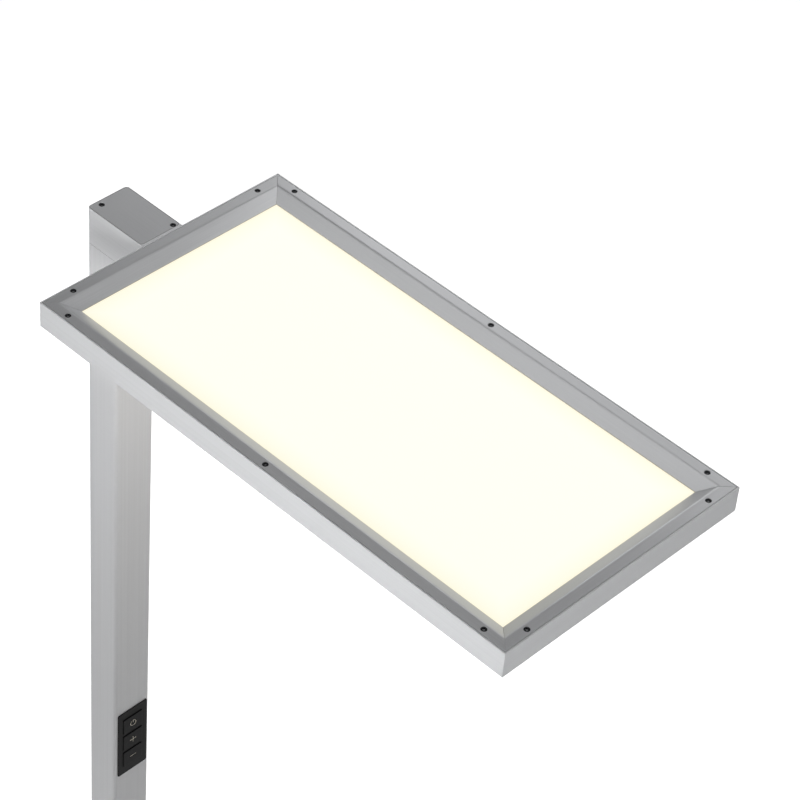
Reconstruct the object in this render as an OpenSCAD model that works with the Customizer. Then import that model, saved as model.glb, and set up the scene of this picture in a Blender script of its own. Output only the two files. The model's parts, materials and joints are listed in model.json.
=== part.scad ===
// Office floor lamp: a flat rectangular head that shines up and down, carried at one short side by
// an arm box on a rectangular column, with a steel base plate under the head.
// Millimetres. The origin is on the floor under the column's axis, +X runs from the column to the
// head's free end, +Y to the far long side of the head, +Z up.

/* [Overall] */
// Height of the lamp, from the floor to the top of the head
total_h = 1950; // [1750:10:2150]

/* [Head] */
// Length of the head, away from the column
head_l = 630; // [560:5:800]
// Width of the head
head_w = 322; // [280:2:420]
// Height of the head's side walls
head_h = 30.6; // [29:0.2:36]
// Thickness of the side walls
wall_t = 1.6; // [1.2:0.1:2]
// Open seam between a side wall and the frame bar inside it
seam = 0.5; // [0.3:0.1:0.8]
// Width of the head's flat rim, side wall included
rim_w = 14.1; // [13:0.1:17]
// Width of the bevel between the flat rim and the diffuser
bevel_w = 14.8; // [12:0.1:18]
// Depth of the diffuser's recess below the flat rim
bevel_drop = 8.7; // [7:0.1:9.5]
// Radius of the soft bend between the flat rim and the bevel
crease_r = 6; // [2:0.5:8]
// Thickness of the frame bars
bar_t = 1.8; // [1.4:0.1:2.2]
// Height of the bars' upright edge at the diffuser
lip_h = 0.6; // [0.3:0.1:1]
// Hairline joint where two frame bars meet in a mitre
mitre_gap = 0.16; // [0.1:0.02:0.3]
// Height of the screw rails inside the side walls
rail_h = 4; // [3:0.1:5]
// Depth of the screw rails, measured from the outside
rail_depth = 12; // [11.5:0.1:13]
// Depth of the groove ribs that hold the chassis plate, measured from the outside
groove_depth = 8; // [6:0.1:9]
// Thickness of the groove ribs
rib_t = 1.2; // [0.8:0.1:1.6]
// Leg length and thickness of the angle brackets in the corners
bracket_l = 30; // [16:1:34]
bracket_t = 3; // [2:0.1:4]

/* [Light engine] */
// Thickness of the chassis plate
chassis_t = 1.5; // [1:0.1:2]
// Room for the chassis plate to grow in its grooves, at each side
chassis_room = 0.9; // [0.3:0.1:2]
// Thickness of the reflector sheets
reflector_t = 0.4; // [0.2:0.1:0.8]
// Thickness of the opal diffusers, and how far they reach out over the LED rails
diffuser_t = 1.8; // [1.5:0.1:2.5]
diffuser_lap = 1; // [0.5:0.1:1.4]
// Distance from the head's outside to the LED rails
led_in = 16.5; // [15.5:0.1:18]
// Thickness of the LED rails
led_rail_t = 2; // [1.5:0.1:2.5]
// Thickness of the LED strips' board
strip_t = 1; // [0.8:0.1:1.2]
// Size of one LED across the strip, and how far it stands up
led_size = 2.4; // [2:0.1:2.8]
led_h = 0.6; // [0.5:0.1:0.8]
// Distance between two LEDs
led_pitch = 24; // [18:1:40]
// Gap for heat between the LEDs and the light guide
guide_gap = 0.3; // [0.2:0.1:0.6]

/* [Head screws] */
// Frame screws: shank and head diameter, length under the head's top
frame_screw_d = 3.5; // [3:0.1:4]
frame_screw_head = 6.4; // [6:0.1:7]
frame_screw_l = 8; // [6:0.5:10]
// Distance of the frame screws from the head's outside
screw_in = 8; // [7.5:0.1:8.5]
// Distance of the outer frame screws from the head's corners, on its long and its short sides
screw_end = 33.5; // [33:0.5:60]
screw_end_short = 36.5; // [33:0.5:60]
// How far the heads of countersunk screws lie under the surface
screw_sink = 0.3; // [0.1:0.05:0.4]

/* [Column and arm] */
// Size of the column along X and along Y
col_x = 46; // [42:1:60]
col_y = 54; // [50:1:70]
// Radius of the column's upright edges, and its wall
col_r = 4.5; // [3:0.1:6]
col_t = 2.5; // [2:0.1:3]
// Length of the arm, from the column's outer face to the head
arm_l = 85; // [76:1:120]
// Height of the arm
arm_h = 45.5; // [42:0.5:60]
// Thickness of the arm's walls
arm_t = 3; // [2.5:0.1:4]
// Thickness of the arm's cover, its setback from the sides and from the head
cap_t = 2; // [1.5:0.1:3]
cap_in = 0.8; // [0.5:0.1:1.2]
cap_back = 2.5; // [2:0.1:2.6]
// Open seam all round the arm's cover
cap_gap = 0.3; // [0.1:0.05:0.5]
// Cover screw near the column: distance from the outer end and from the near side
cap_screw_x = 7.2; // [7:0.1:8]
cap_screw_y = 13.5; // [12:0.1:16]
// Cover screw near the head: distance from the head and from the far side
cap_screw_x2 = 6; // [5.8:0.1:8]
cap_screw_y2 = 7.2; // [7:0.1:8]
// Length of the cover screws
cap_screw_l = 10; // [8:0.5:13]
// Socket bolts of arm and spigot: shank and head diameter
bolt_d = 5; // [4:0.5:5]
bolt_head = 8.5; // [7:0.1:8.5]
// How far the spigot's bolts reach into it, and their distance from the column's inside
bolt_reach = 14; // [10:1:18]
bolt_edge = 7.5; // [7:0.1:8.5]
// Distance of the bolts between arm and head from the middle
arm_bolt_y = 9; // [8.6:0.1:14]
// Height of the spigot that joins arm and column
spigot_h = 42; // [38:1:60]
// Bore for the leads through the spigot and the arm's floor
lead_bore = 22; // [21:0.5:24]
// Set screws at the column's back: diameter, length and distance from the column's inside
set_screw_d = 5; // [4:0.5:6]
set_screw_l = 8; // [6:0.5:10]
set_screw_edge = 9.5; // [8:0.5:10]

/* [Base] */
// Length, width and thickness of the base plate
base_l = 480; // [400:5:600]
base_w = 300; // [240:5:400]
base_t = 10; // [8:0.5:14]
// How far the plate reaches behind the column's axis
base_back = 75; // [66:1:120]
// Corner radius and edge chamfer of the plate
base_r = 14; // [8:1:30]
base_chamfer = 1.5; // [0.5:0.1:2.5]
// Glide pads: diameter, thickness and distance from the plate's edges
pad_d = 36; // [24:1:50]
pad_t = 3; // [2:0.5:5]
pad_in = 30; // [26:1:40]
// Height of the foot block inside the column, and of its set screws
foot_h = 40; // [32:1:50]
foot_set_z = 24; // [22:0.5:28]
// Foot screws: shank and head diameter, length, distance from the column's inside
foot_screw_d = 8; // [6:0.5:8]
foot_screw_head = 15; // [13:0.5:15]
foot_screw_l = 22; // [18:1:24]
foot_screw_edge = 8.5; // [8:0.1:9]

/* [Control unit] */
// Top of the control panel above the floor
panel_top = 1208.5; // [1000:0.5:1300]
// Width and height of the panel, how far it stands out, and its corner radius
panel_w = 45; // [44:0.5:48]
panel_h = 108; // [106:1:130]
panel_out = 1.2; // [0.8:0.1:2]
panel_r = 2; // [1:0.1:4]
// How far the panel reaches past the unit's housing all round
panel_rim = 3.7; // [2:0.1:3.8]
// Width, height and pitch of the push keys, and their corner radius
key_w = 29.6; // [24:0.1:30.5]
key_h = 25.6; // [20:0.1:26]
key_pitch = 29; // [28.8:0.1:29.5]
key_r = 1.5; // [0.8:0.1:3]
// How far the keys stand out of the panel, and their travel
key_out = 1; // [0.5:0.1:1.5]
key_travel = 1.2; // [0.8:0.1:1.5]
// Clearance around each key in its window
key_gap = 0.2; // [0.15:0.05:0.4]
// Depth and wall of the unit's housing behind the column's face
unit_depth = 14; // [13:0.5:16]
unit_wall = 1.5; // [1.2:0.1:2]
// Width and thickness of a key switch, and the diameter of a key's stem
switch_w = 12; // [8:0.5:16]
switch_t = 4.3; // [4:0.1:4.6]
stem_d = 3; // [2:0.1:5]
// Thickness of the circuit board
board_t = 1.6; // [1:0.1:2]

/* [Driver and wiring] */
// LED driver: length, width and height
driver_l = 280; // [200:5:340]
driver_w = 30; // [24:1:34]
driver_h = 21; // [19:0.5:24]
// Length and depth of the terminal steps at the driver's ends
driver_end = 18; // [12:1:24]
driver_step = 12; // [11:0.5:13]
// Distance from the column's top down to the driver
driver_down = 150; // [120:5:300]
// Driver carrier: width, thickness and reach past each end of the driver
carrier_w = 36; // [34:0.5:42]
carrier_t = 2; // [1.5:0.1:3]
carrier_over = 12; // [10:1:20]
// Diameter of the leads to the head
lead_d = 4; // [3:0.1:4.5]
// Diameter of the wires to the driver: mains and control
mains_d = 5; // [3:0.1:6]
control_d = 3; // [2:0.1:4]
// Mains terminal: depth, width, height and pitch of its poles
terminal_x = 16; // [12:0.5:18]
terminal_w = 30; // [27:0.5:36]
terminal_h = 30; // [26:1:40]
terminal_pitch = 9; // [7:0.5:10]
// Height of the cord gland above the base plate, and the bore for the cord
gland_z = 66; // [62:1:90]
gland_bore = 7.4; // [6:0.1:8]
// Cord gland: thread diameter, reach into the column and out of it, width over corners
gland_thread = 16; // [14:0.5:18]
gland_in = 11; // [9:0.5:14]
gland_out = 17; // [14:0.5:24]
gland_hex = 22; // [21.5:0.1:24]

/* [Hidden] */

$fn = 48;
fit = 0.1;               // clearance of pieces that fit into each other
slack = 0.05;            // clearance of sheets in their grooves
eps = 0.01;              // how far cutting tools reach past a face

sink = 0.5;              // how far foot screws and set screws lie under their faces
hole_spare = 2;          // how much deeper than its screw a tapped hole is
SIDES = ["near", "end", "far", "column"];   // of the head, a quarter turn apart

// Head
half_h = head_h / 2;
head_x0 = arm_l - col_x / 2;
head_z = total_h - half_h;              // middle plane of the head
lip_z = half_h - bevel_drop - lip_h;    // underside of the frame's lip, top of the diffuser
rail_top = half_h - bar_t;
glow_in = rim_w + bevel_w;              // from the head's outside to the open diffuser
rib_top = chassis_t / 2 + slack + rib_t;
lane_h = rail_top - rail_h - rib_top;   // free lane inside a side wall, between rib and screw rail
lane_z = rib_top + lane_h / 2;
lip_fold = 0.2;                         // how far the bevel's underside lies below the flat's
led_z0 = chassis_t / 2 + reflector_t;   // underside of light guides and LED strips
strip_in = led_in + led_rail_t;         // outside of the LED strips
guide_in = strip_in + strip_t + led_h + guide_gap;
guide_t = lip_z - diffuser_t - led_z0;  // a strip is as wide as the light guide is thick
diffuser_in = led_in - diffuser_lap;

// Column and arm
arm_x0 = -col_x / 2;
arm_z0 = total_h - arm_h;
plate_z = pad_t;
col_z0 = pad_t + base_t;
col_top = arm_z0;
col_in_x = col_x - 2 * col_t;           // inside of the column
col_in_y = col_y - 2 * col_t;
col_in_r = max(col_r - col_t, 0.5);
back_x = -col_in_x / 2;                 // inside of the column's back wall
boss_wall = 1.75;                       // bosses under the cover's screws
boss_h = cap_screw_l + 2 * hole_spare;
web_t = 3;
pad_bevel = 1;
foot_spots = corners(col_in_x / 2 - foot_screw_edge, col_in_y / 2 - foot_screw_edge);
spigot_spots = corners(col_in_x / 2 - bolt_edge, col_in_y / 2 - bolt_edge);
pad_spots = concat([[0, 0]], [for (x = [pad_in - base_back, base_l - base_back - pad_in],
    y = [-1, 1]) [x, y * (base_w / 2 - pad_in)]]);
cap_screws = [[arm_x0 + cap_screw_x, cap_screw_y - col_y / 2],
    [head_x0 - cap_screw_x2, col_y / 2 - cap_screw_y2]];

// Control unit
panel_face = col_x / 2 + panel_out;
panel_mid = panel_top - panel_h / 2;
unit_w = panel_w - 2 * panel_rim;
unit_h = panel_h - 2 * panel_rim;
unit_x0 = col_x / 2 - unit_depth;
face_in = 1.5;                          // the panel's face reaches this far into the column
face_t = panel_out + face_in;
flange = 1.2;                           // step of the flange that holds a key behind the panel
flange_t = 1.5;
flange_x = panel_face - face_t - fit;   // front of the flange
switch_face = unit_x0 + switch_t;
stem_in = 1.4;                          // how deep a stem sits in its switch at rest
end_play = 0.4;                         // and what is left under it when pressed
key_edge = 0.5;
board_x0 = unit_x0 - board_t;
board_screw_d = 2;
board_screw_l = 6;
board_screw_head = 3.8;
board_post_d = 4.2;                     // posts for the board's screws
key_z = [for (row = [1, 0, -1]) panel_mid + row * key_pitch];   // on and off, brighter, dimmer
board_screw_z = [for (s = [-1, 1]) panel_mid + s * (unit_h / 2 - unit_wall - board_post_d / 2)];

// Driver and wiring
driver_top = col_top - driver_down;
driver_z0 = driver_top - driver_l;
driver_x0 = back_x + carrier_t;
driver_x1 = driver_x0 + driver_h;
step_mid = driver_x1 - driver_step / 2; // middle of the driver's terminal steps
driver_rim = 4;                         // wall beside the steps
back_mid = (driver_x0 + driver_x1 - driver_step) / 2;   // and of the housing behind them
carrier_screw_d = 4;
carrier_screw_head = 7.4;
carrier_screw_l = 8;
carrier_screw_z = [driver_z0 - carrier_over / 2, driver_top + carrier_over / 2];
lead_bend = 14;
lead_gap = 2;                           // between the two leads in the column
grommet_t = 1;                          // wall of the grommets, and thickness of their flanges
grommet_d = lead_d + 2 * grommet_t;
grommet_flange = lane_h - 4 * fit;
connector_w = 16;                       // connectors between leads and strips
connector_in = 9;
connector_gap = 0.5;                    // between a connector and the diffuser's edge
strip_lead_d = 1.6;
strip_lead_in = 14.2;
strip_lead_z = 2.6;
terminal_gap = 15;                      // between the gland's nut and the terminal
terminal_z = col_z0 + gland_z + gland_hex / 2 + terminal_gap;
wire_hole_d = 3.2;                      // holes in the terminal for wires and their screws
wire_hole_l = 12;
pole_screw_d = 4;
pole_screw_l = 8;
nut_t = 3;
nut_w = 8;
gland_nut_t = 4.5;
gland_seal_t = 2;
gland_seal_in = 0.5;                    // steps of the gland's outline inside its hexagon's corners
gland_cap_in = 1.4;
gland_dome_in = 5;
gland_dome_h = 5;
plug_w = 10;                            // plug of the control wire on the board
plug_h = 14;
plug_up = 20;
plug_z0 = panel_mid + plug_up;
plug_x0 = step_mid - control_d;

// ---- shapes -------------------------------------------------------------------------------

function corners(x, y) = [for (sx = [-1, 1], sy = [-1, 1]) [sx * x, sy * y]];

// Rectangle with round corners, centred
module round_rect(l, w, r) {
    square([l - 2 * r, w], center = true);
    square([l, w - 2 * r], center = true);
    for (c = corners(l / 2 - r, w / 2 - r)) translate(c) circle(r);
}

// Slab with round corners and a chamfer round its top edge, centred, standing on z = 0
module chamfered_slab(l, w, h, r, c) {
    side = function (half) [[-half, 0], [half, 0], [half, h - c], [half - c, h],
        [c - half, h], [-half, h - c]];
    rotate([90, 0, 90]) linear_extrude(l - 2 * r, center = true) polygon(side(w / 2));
    rotate([90, 0, 0]) linear_extrude(w - 2 * r, center = true) polygon(side(l / 2));
    for (s = corners(l / 2 - r, w / 2 - r)) translate(s)
        rotate_extrude() polygon([[0, 0], [r, 0], [r, h - c], [r - c, h], [0, h]]);
}

// Countersunk screw with its head's top at z = 0, pointing down, with a hexagon socket
module countersunk_screw(d, head_d, length) {
    cone_h = (head_d - d) / 2;
    difference() {
        union() {
            translate([0, 0, -cone_h]) cylinder(h = cone_h, d1 = d, d2 = head_d);
            translate([0, 0, -length]) cylinder(h = length - cone_h, d = d);
        }
        translate([0, 0, -0.45 * head_d]) cylinder(h = head_d, d = 0.46 * head_d, $fn = 6);
    }
}

// Hole for a countersunk screw whose head's top is at z = 0
module countersunk_hole(d, head_d, depth) {
    cone_h = (head_d - d) / 2;
    translate([0, 0, -cone_h]) cylinder(h = cone_h, d1 = d + 2 * fit, d2 = head_d + 2 * fit);
    translate([0, 0, -eps]) cylinder(h = head_d, d = head_d + 2 * fit);
    translate([0, 0, -depth]) cylinder(h = depth, d = d + 2 * fit);
}

// Socket head bolt with its head's underside at z = 0, pointing down
module socket_bolt(d, head_d, length) {
    difference() {
        union() {
            cylinder(h = d, d = head_d);
            translate([0, 0, -length]) cylinder(h = length, d = d);
        }
        translate([0, 0, d / 2]) cylinder(h = d, d = 0.9 * d, $fn = 6);
    }
}

// Headless set screw from z = 0 down, with a hexagon socket
module set_screw() {
    difference() {
        translate([0, 0, -set_screw_l]) cylinder(h = set_screw_l, d = set_screw_d);
        translate([0, 0, -set_screw_d / 2])
            cylinder(h = set_screw_d, d = set_screw_d / 2, $fn = 6);
    }
}

// ---- places -------------------------------------------------------------------------------

// Places a piece at one side of the head. There X runs along the side from its middle,
// Y inwards from the head's outside, and Z up from the middle plane, or down where face is -1.
module at_side(side, face = 1) {
    turns = search([side], SIDES)[0];
    translate([head_x0 + head_l / 2, 0, head_z])
        mirror([0, 0, face < 0 ? 1 : 0])
            rotate([0, 0, 90 * turns])
                translate([0, -(is_long(side) ? head_w : head_l) / 2, 0]) children();
}

function is_long(side) = side == "near" || side == "far";
function side_l(side) = is_long(side) ? head_l : head_w;

// Bar along one side with the profile given by children (x inwards, y up), mitred at both ends
module mitred(side, depth, gap = 0) {
    half = side_l(side) / 2 - gap / 2 * sqrt(2);
    intersection() {
        rotate([90, 0, 90]) linear_extrude(2 * half, center = true) children();
        linear_extrude(2 * head_h, center = true)
            polygon([[-half, 0], [half, 0], [half - depth, depth], [depth - half, depth]]);
    }
}

// Places of the frame screws along one side: two near the corners, and one mid-way on long sides
function screw_spots(side) = let (from_corner = is_long(side) ? screw_end : screw_end_short,
    reach = side_l(side) / 2 - from_corner) is_long(side) ? [-reach, 0, reach] : [-reach, reach];

// Z = 0 is then the top of the screw's head
module at_frame_screws(side) {
    for (x = screw_spots(side)) translate([x, screw_in, half_h - screw_sink]) children();
}

// Plate over the head's whole plan, set in from the outside by inset, from z0 up
module head_sheet(inset, z0, thickness) {
    translate([head_x0 + inset, -head_w / 2 + inset, head_z + z0])
        cube([head_l - 2 * inset, head_w - 2 * inset, thickness]);
}

// Two set screws side by side in the column's back at height z; Z points out of the column
module at_set_screws(z) {
    for (y = [-1, 1]) translate([-col_x / 2, y * (col_in_y / 2 - set_screw_edge), z])
        rotate([0, -90, 0]) children();
}

module at_spigot_set_screws() { at_set_screws(col_top - spigot_h / 2) children(); }
module at_foot_set_screws() { at_set_screws(col_z0 + foot_set_z) children(); }

// Screws of the driver carrier, and the cord gland, in the same way
module at_carrier_screws() {
    for (z = carrier_screw_z) translate([-col_x / 2, 0, z]) rotate([0, -90, 0]) children();
}

module at_gland() {
    translate([-col_x / 2, 0, col_z0 + gland_z]) rotate([0, -90, 0]) children();
}

// Bolt holes and lead holes through the wall between arm and head; Z points into the head
module at_arm_holes() {
    for (y = [-1, 1], face = [1, -1])
        translate([head_x0, y * arm_bolt_y, head_z + face * lane_z]) rotate([0, 90, 0]) children();
}

module at_lead_holes() {
    for (face = [1, -1])
        translate([head_x0, 0, head_z + face * lane_z]) rotate([0, 90, 0]) children();
}

module at_board_screws() {
    for (z = board_screw_z) translate([board_x0, 0, z]) rotate([0, 90, 0]) children();
}

// ---- base ---------------------------------------------------------------------------------

module base_plate() {
    color("darkgray") difference() {
        translate([base_l / 2 - base_back, 0, plate_z])
            chamfered_slab(base_l, base_w, base_t, base_r, base_chamfer);
        at_foot_screws() countersunk_hole(foot_screw_d, foot_screw_head, 2 * base_t);
    }
}

// Z = 0 is the top of a screw's head, which looks down
module at_foot_screws() {
    for (s = foot_spots) translate([s[0], s[1], plate_z + sink]) rotate([180, 0, 0]) children();
}

module glide_pads() {
    color("dimgray") for (s = pad_spots) translate([s[0], s[1], 0])
        rotate_extrude() polygon([[0, 0], [pad_d / 2 - pad_bevel, 0], [pad_d / 2, pad_bevel],
            [pad_d / 2, pad_t], [0, pad_t]]);
}

// Solid block in the column's foot, with tapped holes from below and from the back
module foot_block() {
    hole_l = foot_screw_l + hole_spare;
    color("gray") difference() {
        translate([0, 0, col_z0]) linear_extrude(foot_h)
            round_rect(col_in_x - 2 * fit, col_in_y - 2 * fit, col_in_r);
        at_foot_screws() translate([0, 0, -hole_l]) cylinder(h = hole_l, d = foot_screw_d + 2 * fit);
        at_foot_set_screws() set_screw_hole();
    }
}

module foot_screws() {
    color("dimgray") at_foot_screws() countersunk_screw(foot_screw_d, foot_screw_head, foot_screw_l);
}

module set_screw_hole() {
    translate([0, 0, -set_screw_l - 2 * hole_spare])
        cylinder(h = 2 * set_screw_l, d = set_screw_d + 2 * fit);
}

module foot_set_screws() {
    color("dimgray") at_foot_set_screws() translate([0, 0, -sink]) set_screw();
}

// ---- column -------------------------------------------------------------------------------

module column() {
    wall_hole = set_screw_d + 6 * fit;
    color("silver") difference() {
        translate([0, 0, col_z0]) linear_extrude(col_top - col_z0) difference() {
            round_rect(col_x, col_y, col_r);
            round_rect(col_in_x, col_in_y, col_in_r);
        }
        translate([0, -unit_w / 2 - fit, panel_mid - unit_h / 2 - fit])
            cube([col_x, unit_w + 2 * fit, unit_h + 2 * fit]);
        at_gland() cylinder(h = 4 * col_t, d = gland_thread + 2 * fit, center = true);
        at_foot_set_screws() cylinder(h = 4 * col_t, d = wall_hole, center = true);
        at_spigot_set_screws() cylinder(h = 4 * col_t, d = wall_hole, center = true);
        at_carrier_screws() translate([0, 0, -screw_sink])
            countersunk_hole(carrier_screw_d, carrier_screw_head, 2 * col_t);
    }
}

// ---- cord entry ---------------------------------------------------------------------------

// Threaded body with a seal, a hexagon and a domed cap
module cord_gland() {
    seal_r = gland_hex / 2 - gland_seal_in;
    cap_r = gland_hex / 2 - gland_cap_in;
    color("#202022") at_gland() difference() {
        union() {
            rotate_extrude() polygon([[0, -gland_in], [gland_thread / 2, -gland_in],
                [gland_thread / 2, 0], [seal_r, 0], [seal_r, gland_seal_t],
                [cap_r, gland_seal_t + gland_nut_t], [cap_r, gland_out - gland_dome_h],
                [gland_hex / 2 - gland_dome_in, gland_out], [0, gland_out]]);
            translate([0, 0, gland_seal_t / 2])
                cylinder(h = gland_nut_t, d = gland_hex, $fn = 6);
        }
        translate([0, 0, -2 * gland_in])
            cylinder(h = 2 * (gland_in + gland_out), d = gland_bore);
    }
}

module gland_locknut() {
    color("#202022") at_gland() translate([0, 0, -col_t - gland_nut_t]) difference() {
        cylinder(h = gland_nut_t, d = gland_hex - 2 * gland_seal_in, $fn = 6);
        translate([0, 0, -eps]) cylinder(h = 2 * gland_nut_t, d = gland_thread + 2 * fit);
    }
}

// Three poles, each with a wire hole from below and a screw hole in front
module mains_terminal() {
    color("ivory") difference() {
        translate([back_x, -terminal_w / 2, terminal_z])
            cube([terminal_x, terminal_w, terminal_h]);
        for (pole = [-1, 0, 1]) translate([back_x, pole * terminal_pitch, terminal_z]) {
            translate([terminal_x / 2, 0, -eps]) cylinder(h = wire_hole_l, d = wire_hole_d);
            translate([terminal_x - pole_screw_l, 0, terminal_h / 2]) rotate([0, 90, 0])
                cylinder(h = 2 * pole_screw_l, d = pole_screw_d);
        }
    }
}

module mains_wire() {
    z0 = terminal_z + terminal_h;
    color("white") translate([back_mid, terminal_pitch, z0])
        cylinder(h = driver_z0 - z0, d = mains_d);
}

// ---- driver -------------------------------------------------------------------------------

module driver_carrier() {
    color("lightgray") difference() {
        translate([back_x, -carrier_w / 2, driver_z0 - carrier_over])
            cube([carrier_t, carrier_w, driver_l + 2 * carrier_over]);
        at_carrier_screws() translate([0, 0, -carrier_screw_l - col_t])
            cylinder(h = carrier_screw_l + col_t, d = carrier_screw_d + 2 * fit);
    }
}

module carrier_screws() {
    color("dimgray") at_carrier_screws() translate([0, 0, -screw_sink])
        countersunk_screw(carrier_screw_d, carrier_screw_head, carrier_screw_l);
}

// Closed housing with a lower step for the terminals at each end
module led_driver() {
    color("whitesmoke") difference() {
        translate([driver_x0, -driver_w / 2, driver_z0]) cube([driver_h, driver_w, driver_l]);
        for (z = [driver_z0 - eps, driver_top - driver_end])
            translate([driver_x1 - driver_step, driver_rim - driver_w / 2, z])
                cube([driver_h, driver_w - 2 * driver_rim, driver_end + eps]);
    }
}

// ---- control unit -------------------------------------------------------------------------

module control_bezel() {
    color("#0b0b0c") difference() {
        union() {
            translate([col_x / 2, 0, panel_mid]) rotate([90, 0, 90])
                linear_extrude(panel_out) round_rect(panel_w, panel_h, panel_r);
            translate([unit_x0, -unit_w / 2, panel_mid - unit_h / 2])
                cube([unit_depth + eps, unit_w, unit_h]);
        }
        difference() {
            translate([unit_x0 - eps, unit_wall - unit_w / 2, panel_mid - unit_h / 2 + unit_wall])
                cube([panel_face - face_t - unit_x0 + eps, unit_w - 2 * unit_wall,
                    unit_h - 2 * unit_wall]);
            at_board_screws() cylinder(h = unit_depth, d = board_post_d);
        }
        for (z = key_z) translate([panel_face - 2 * face_t, 0, z]) rotate([90, 0, 90])
            linear_extrude(3 * face_t)
                round_rect(key_w + 2 * key_gap, key_h + 2 * key_gap, key_r);
        at_board_screws() cylinder(h = board_screw_l + hole_spare, d = board_screw_d + 2 * fit);
    }
}

// Push key with its flange behind the panel and its stem in the switch; row counts from the top
module push_key(row) {
    stem_x0 = switch_face - stem_in;
    translate([0, 0, key_z[row]]) {
        translate([flange_x - flange_t, 0, 0]) rotate([90, 0, 90])
            linear_extrude(flange_t) round_rect(key_w + 2 * flange, key_h + 2 * flange, key_r);
        translate([flange_x - eps, 0, 0]) rotate([90, 0, 90])
            chamfered_slab(key_w, key_h, panel_face + key_out - flange_x + eps, key_r, key_edge);
        translate([stem_x0, 0, 0]) rotate([0, 90, 0])
            cylinder(h = flange_x - flange_t - stem_x0 + eps, d = stem_d);
    }
}

module key_on_off() { color("#161618") push_key(0); }
module key_brighter() { color("#161618") push_key(1); }
module key_dimmer() { color("#161618") push_key(2); }

module key_switches() {
    color("gray") for (z = key_z) translate([unit_x0, 0, z]) rotate([90, 0, 90]) difference() {
        linear_extrude(switch_t) square(switch_w, center = true);
        translate([0, 0, switch_t - stem_in - key_travel - end_play])
            cylinder(h = switch_t, d = stem_d + 2 * fit);
    }
}

module control_board() {
    color("darkgreen") difference() {
        union() {
            translate([board_x0, -unit_w / 2, panel_mid - unit_h / 2])
                cube([board_t, unit_w, unit_h]);
            translate([plug_x0, -plug_w / 2, plug_z0])
                cube([board_x0 - plug_x0 + eps, plug_w, plug_h]);
        }
        at_board_screws() cylinder(h = 3 * board_t, d = board_screw_d + 2 * fit, center = true);
    }
}

module board_screws() {
    color("dimgray") at_board_screws() rotate([180, 0, 0])
        socket_bolt(board_screw_d, board_screw_head, board_screw_l);
}

// From the board's plug up into the driver's lower step
module control_wire() {
    z0 = plug_z0 + plug_h;
    color("white") translate([step_mid, 0, z0])
        cylinder(h = driver_z0 + driver_end - z0, d = control_d);
}

// ---- arm ----------------------------------------------------------------------------------

// Plan of the arm with round corners, set in by inset, and by back at the head
module arm_plan(inset, back) {
    x0 = arm_x0 + inset;
    x1 = head_x0 - back;
    translate([(x0 + x1) / 2, 0])
        round_rect(x1 - x0, col_y - 2 * inset, max(col_r - inset, 0.5));
}

module column_spigot() {
    color("gray") difference() {
        translate([0, 0, col_top - spigot_h]) linear_extrude(spigot_h)
            round_rect(col_in_x - 2 * fit, col_in_y - 2 * fit, col_in_r);
        translate([step_mid, 0, col_top - spigot_h - eps])
            cylinder(h = 2 * spigot_h, d = lead_bore);
        for (s = spigot_spots) translate([s[0], s[1], col_top - bolt_reach - hole_spare])
            cylinder(h = 2 * bolt_reach, d = bolt_d + 2 * fit);
        at_spigot_set_screws() set_screw_hole();
    }
}

module spigot_bolts() {
    color("dimgray") for (s = spigot_spots) translate([s[0], s[1], arm_z0 + arm_t])
        socket_bolt(bolt_d, bolt_head, arm_t + bolt_reach);
}

module spigot_set_screws() {
    color("dimgray") at_spigot_set_screws() translate([0, 0, -sink]) set_screw();
}

// Open box with a step for its cover, and a boss on a web under each cover screw
module arm_body() {
    color("silver") difference() {
        union() {
            difference() {
                translate([0, 0, arm_z0]) linear_extrude(arm_h) union() {
                    arm_plan(0, 0);
                    translate([head_x0 - 2 * col_r, -col_y / 2]) square([2 * col_r, col_y]);
                }
                translate([0, 0, arm_z0 + arm_t]) linear_extrude(arm_h) arm_plan(arm_t, arm_t);
            }
            for (s = cap_screws) translate([s[0], s[1], total_h - cap_t - boss_h]) {
                to_wall = s[0] < 0 ? arm_x0 + arm_t / 2 - s[0] : head_x0 - arm_t / 2 - s[0];
                cylinder(h = boss_h, d = frame_screw_d + 2 * boss_wall);
                translate([min(to_wall, 0), -web_t / 2, 0]) cube([abs(to_wall), web_t, boss_h]);
            }
        }
        translate([0, 0, total_h - cap_t]) linear_extrude(2 * cap_t) arm_plan(cap_in, cap_back);
        for (s = cap_screws) translate([s[0], s[1], total_h - cap_screw_l - hole_spare])
            cylinder(h = cap_screw_l + hole_spare, d = frame_screw_d + 2 * fit);
        for (s = spigot_spots) translate([s[0], s[1], arm_z0 - eps])
            cylinder(h = 2 * arm_t, d = bolt_d + 2 * fit);
        translate([step_mid, 0, arm_z0 - eps]) cylinder(h = 2 * arm_t, d = lead_bore);
        at_arm_holes() cylinder(h = 4 * arm_t, d = bolt_d + 2 * fit, center = true);
        at_lead_holes() cylinder(h = 4 * arm_t, d = grommet_d + 2 * fit, center = true);
    }
}

module arm_cover() {
    color("darkgray") difference() {
        translate([0, 0, total_h - cap_t]) linear_extrude(cap_t)
            arm_plan(cap_in + cap_gap, cap_back + cap_gap);
        for (s = cap_screws) translate([s[0], s[1], total_h - screw_sink])
            countersunk_hole(frame_screw_d, frame_screw_head, 3 * cap_t);
    }
}

module cover_screws() {
    color("dimgray") for (s = cap_screws) translate([s[0], s[1], total_h - screw_sink])
        countersunk_screw(frame_screw_d, frame_screw_head, cap_screw_l);
}

module arm_head_bolts() {
    color("dimgray") at_arm_holes() translate([0, 0, -arm_t]) rotate([180, 0, 0])
        socket_bolt(bolt_d, bolt_head, arm_t + wall_t + nut_t);
}

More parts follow.
